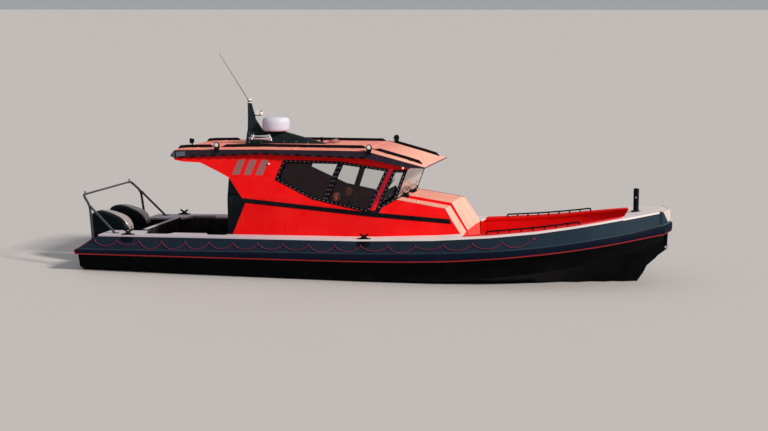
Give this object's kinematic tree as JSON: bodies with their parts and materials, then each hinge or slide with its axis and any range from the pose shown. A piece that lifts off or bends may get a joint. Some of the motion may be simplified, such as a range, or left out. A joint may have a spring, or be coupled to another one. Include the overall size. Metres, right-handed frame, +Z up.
{
  "type": "inshore rescue boat",
  "caption": "Rigid deep-V rescue boat with a foam collar, a faceted enclosed wheelhouse, an open fore cockpit, a stern frame, and outboards that steer, tilt and spin their propellers.",
  "frame": {"origin": "amidships on the centreline, at the waterline", "axes": "+X forward, +Y to port, +Z up"},
  "size_m": [12.115, 3.6, 5.3022],
  "materials": {
    "hull_black": "satin black hull paint, slightly worn at the chine",
    "collar_slate": "matt slate-blue polyurethane skin with fine grain",
    "rescue_red": "gloss bright red paint",
    "deck_pale": "pale lavender-grey non-slip deck",
    "sole_dark": "dark grey textured sole",
    "bulwark_black": "satin black paint",
    "trim_black": "semi-gloss near-black film and coated tube",
    "fascia_grey": "dark purple-grey satin paint",
    "window_glass": "tinted safety glass",
    "mast_grey": "dark green-grey powder coat",
    "white_plastic": "white gloss moulding",
    "horn_chrome": "bright chrome",
    "motor_dark": "dark gloss cowl paint",
    "propeller_steel": "polished stainless steel",
    "rope_red": "braided dark pink-red line",
    "seat_dark": "dark marine upholstery"
  },
  "bodies": {
    "hull": {"hull": "hull_black", "deck": "sole_dark", "foredeck": "rescue_red", "fore_bulwark": "rescue_red", "cabin_side_starboard": "rescue_red", "cabin_side_port": "rescue_red", "trunk": "rescue_red", "roof": "rescue_red", "cabin_aft_bulkhead": "rescue_red", "collar_starboard": "collar_slate", "collar_port": "collar_slate", "side_deck_starboard": "deck_pale", "side_deck_port": "deck_pale", "bow_deck": "deck_pale", "bow_pad": "deck_pale", "aft_bulwark_starboard": "bulwark_black", "aft_bulwark_port": "bulwark_black", "well_bulkhead": "bulwark_black", "stern_frame": "mast_grey", "mast": "mast_grey", "bow_post": "trim_black", "foredeck_rail_starboard": "trim_black", "foredeck_rail_port": "trim_black", "cabin_band_starboard": "trim_black", "cabin_band_port": "trim_black", "windscreen_frame": "trim_black", "helm_console": "trim_black", "steering_wheel": "trim_black", "roof_rail_starboard": "trim_black", "roof_rail_port": "trim_black", "floodlight_fore_starboard": "trim_black", "floodlight_fore_port": "trim_black", "floodlight_aft_starboard": "trim_black", "floodlight_aft_port": "trim_black", "floodlight_stern": "trim_black", "lifeline_starboard": "rope_red", "lifeline_port": "rope_red", "side_glass_starboard": "window_glass", "side_glass_port": "window_glass", "windscreen_glass": "window_glass", "roof_fascia": "fascia_grey", "helm_seat_starboard": "seat_dark", "helm_seat_port": "seat_dark", "cabin_bench_starboard": "seat_dark", "cabin_bench_port": "seat_dark", "radome": "white_plastic", "horn": "horn_chrome", "clamp_bracket_starboard": "motor_dark", "clamp_bracket_port": "motor_dark"},
    "door": {"cabin_door": "rescue_red"},
    "swivel_starboard": {"swivel_bracket_starboard": "motor_dark"},
    "motor_starboard": {"motor_leg_starboard": "motor_dark", "motor_cowl_starboard": "motor_dark"},
    "screw_starboard": {"propeller_starboard": "propeller_steel"},
    "swivel_port": {"swivel_bracket_port": "motor_dark"},
    "motor_port": {"motor_leg_port": "motor_dark", "motor_cowl_port": "motor_dark"},
    "screw_port": {"propeller_port": "propeller_steel"}
  },
  "joints": [
    {"name": "door_hinge", "type": "hinge", "parent": "hull", "child": "door", "pos_m": [-2.752, 0.359, 1.3], "axis": [0, 0, -1], "range_deg": [0, 100]},
    {"name": "tilt_starboard", "type": "hinge", "parent": "hull", "child": "swivel_starboard", "pos_m": [-5.42, -0.48, 0.29], "axis": [0, 1, 0], "range_deg": [0, 60]},
    {"name": "steer_starboard", "type": "hinge", "parent": "swivel_starboard", "child": "motor_starboard", "pos_m": [-5.655, -0.48, 0.1], "axis": [0, 0, 1], "range_deg": [-30, 30]},
    {"name": "spin_starboard", "type": "hinge", "parent": "motor_starboard", "child": "screw_starboard", "pos_m": [-6.05, -0.48, -0.57], "axis": [1, 0, 0], "continuous": true},
    {"name": "tilt_port", "type": "hinge", "parent": "hull", "child": "swivel_port", "pos_m": [-5.42, 0.48, 0.29], "axis": [0, 1, 0], "range_deg": [0, 60]},
    {"name": "steer_port", "type": "hinge", "parent": "swivel_port", "child": "motor_port", "pos_m": [-5.655, 0.48, 0.1], "axis": [0, 0, 1], "range_deg": [-30, 30]},
    {"name": "spin_port", "type": "hinge", "parent": "motor_port", "child": "screw_port", "pos_m": [-6.05, 0.48, -0.57], "axis": [1, 0, 0], "continuous": true}
  ],
  "couplings": [
    {"joint": "steer_port", "follows": "steer_starboard", "ratio": 1}
  ]
}
